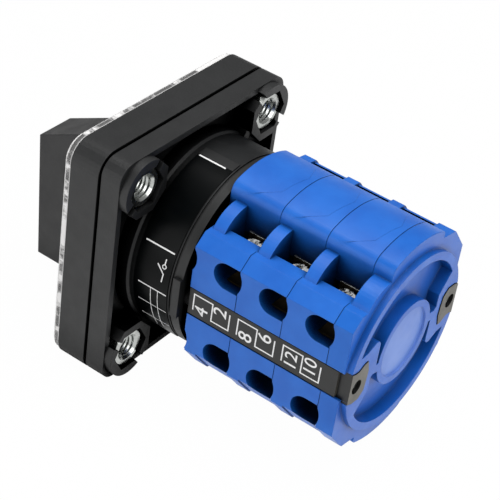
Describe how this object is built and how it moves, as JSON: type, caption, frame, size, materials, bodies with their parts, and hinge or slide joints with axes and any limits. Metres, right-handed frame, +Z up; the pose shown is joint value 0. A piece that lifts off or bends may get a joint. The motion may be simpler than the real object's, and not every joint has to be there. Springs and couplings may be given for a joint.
{
  "type": "changeover cam switch",
  "caption": "Panel-mounted changeover cam switch: square front plate with turning knob, round latch housing, stacked contact sections with screw terminals and an end cover.",
  "frame": {"origin": "centre of the fixing-screw pattern on the back of the square front frame, where it meets the panel", "axes": "+Y along the shaft from the knob to the end cover, +Z up with the knob at its middle position, +X to the right seen from the knob"},
  "size_m": [0.064, 0.1087, 0.064],
  "materials": {
    "black_plastic": "moulded, fine satin grain",
    "knob_plastic": "moulded, satin",
    "blue_plastic": "moulded, satin",
    "cover_blue": "moulded, satin",
    "clear_plastic": "clear moulded",
    "dial": "satin, printed numbers",
    "gasket": "foam rubber",
    "zinc": "zinc plated",
    "label": "printed film",
    "strap": "printed strip",
    "white_plastic": "moulded",
    "brass": "stamped",
    "spring_steel": "drawn wire"
  },
  "bodies": {
    "housing": {"clear_cover": "clear_plastic", "dial_plate": "dial", "escutcheon_frame": "black_plastic", "panel_gasket": "gasket", "mounting_plate": "black_plastic", "corner_nuts": "zinc", "plate_screws": "zinc", "latch_housing": "black_plastic", "latch_cover": "black_plastic", "rating_label": "label", "contact_housing_1": "blue_plastic", "contact_housing_2": "blue_plastic", "contact_housing_3": "blue_plastic", "fixed_contacts_1": "brass", "fixed_contacts_2": "brass", "fixed_contacts_3": "brass", "terminal_screws_1": "zinc", "terminal_screws_2": "zinc", "terminal_screws_3": "zinc", "clamp_plates_1": "zinc", "clamp_plates_2": "zinc", "clamp_plates_3": "zinc", "end_cover": "cover_blue", "label_strap_right": "strap", "label_strap_left": "strap", "tie_screws": "zinc", "detent_spring_upper": "spring_steel", "detent_spring_lower": "spring_steel", "spring_upper_1": "spring_steel", "spring_upper_2": "spring_steel", "spring_upper_3": "spring_steel", "spring_lower_1": "spring_steel", "spring_lower_2": "spring_steel", "spring_lower_3": "spring_steel"},
    "rotor": {"knob": "knob_plastic", "knob_cap": "knob_plastic", "knob_screw": "zinc", "drive_shaft": "zinc", "star_wheel": "white_plastic", "cam_1": "white_plastic", "cam_2": "white_plastic", "cam_3": "white_plastic"},
    "detent_upper": {"detent_slide_upper": "white_plastic", "detent_roller_upper": "zinc"},
    "contact_upper_1": {"plunger_upper_1": "white_plastic", "bridge_upper_1": "brass"},
    "contact_upper_2": {"plunger_upper_2": "white_plastic", "bridge_upper_2": "brass"},
    "contact_upper_3": {"plunger_upper_3": "white_plastic", "bridge_upper_3": "brass"},
    "detent_lower": {"detent_slide_lower": "white_plastic", "detent_roller_lower": "zinc"},
    "contact_lower_1": {"plunger_lower_1": "white_plastic", "bridge_lower_1": "brass"},
    "contact_lower_2": {"plunger_lower_2": "white_plastic", "bridge_lower_2": "brass"},
    "contact_lower_3": {"plunger_lower_3": "white_plastic", "bridge_lower_3": "brass"}
  },
  "joints": [
    {"name": "knob_turn", "type": "hinge", "parent": "housing", "child": "rotor", "pos_m": [0, 0, 0], "axis": [0, 1, 0], "range_deg": [-60, 60]},
    {"name": "detent_upper_slide", "type": "slide", "parent": "housing", "child": "detent_upper", "axis": [0, 0, 1], "range_m": [-0.0012, 0], "stiffness_N_per_m": 400, "deforming": ["detent_spring_upper"]},
    {"name": "contact_upper_1_slide", "type": "slide", "parent": "housing", "child": "contact_upper_1", "axis": [0, 0, 1], "range_m": [-0.002, 0.002], "deforming": ["spring_upper_1"]},
    {"name": "contact_upper_2_slide", "type": "slide", "parent": "housing", "child": "contact_upper_2", "axis": [0, 0, 1], "range_m": [-0.002, 0.002], "deforming": ["spring_upper_2"]},
    {"name": "contact_upper_3_slide", "type": "slide", "parent": "housing", "child": "contact_upper_3", "axis": [0, 0, 1], "range_m": [-0.002, 0.002], "deforming": ["spring_upper_3"]},
    {"name": "detent_lower_slide", "type": "slide", "parent": "housing", "child": "detent_lower", "axis": [0, 0, -1], "range_m": [-0.0012, 0], "stiffness_N_per_m": 400, "deforming": ["detent_spring_lower"]},
    {"name": "contact_lower_1_slide", "type": "slide", "parent": "housing", "child": "contact_lower_1", "axis": [0, 0, 1], "range_m": [-0.002, 0.002], "deforming": ["spring_lower_1"]},
    {"name": "contact_lower_2_slide", "type": "slide", "parent": "housing", "child": "contact_lower_2", "axis": [0, 0, 1], "range_m": [-0.002, 0.002], "deforming": ["spring_lower_2"]},
    {"name": "contact_lower_3_slide", "type": "slide", "parent": "housing", "child": "contact_lower_3", "axis": [0, 0, 1], "range_m": [-0.002, 0.002], "deforming": ["spring_lower_3"]}
  ],
  "couplings": [
    {"joint": "contact_upper_1_slide", "follows": "knob_turn", "m_per_rad": 0.0019099},
    {"joint": "contact_upper_2_slide", "follows": "knob_turn", "m_per_rad": 0.0019099},
    {"joint": "contact_upper_3_slide", "follows": "knob_turn", "m_per_rad": 0.0019099},
    {"joint": "contact_lower_1_slide", "follows": "knob_turn", "m_per_rad": 0.0019099},
    {"joint": "contact_lower_2_slide", "follows": "knob_turn", "m_per_rad": 0.0019099},
    {"joint": "contact_lower_3_slide", "follows": "knob_turn", "m_per_rad": 0.0019099}
  ]
}
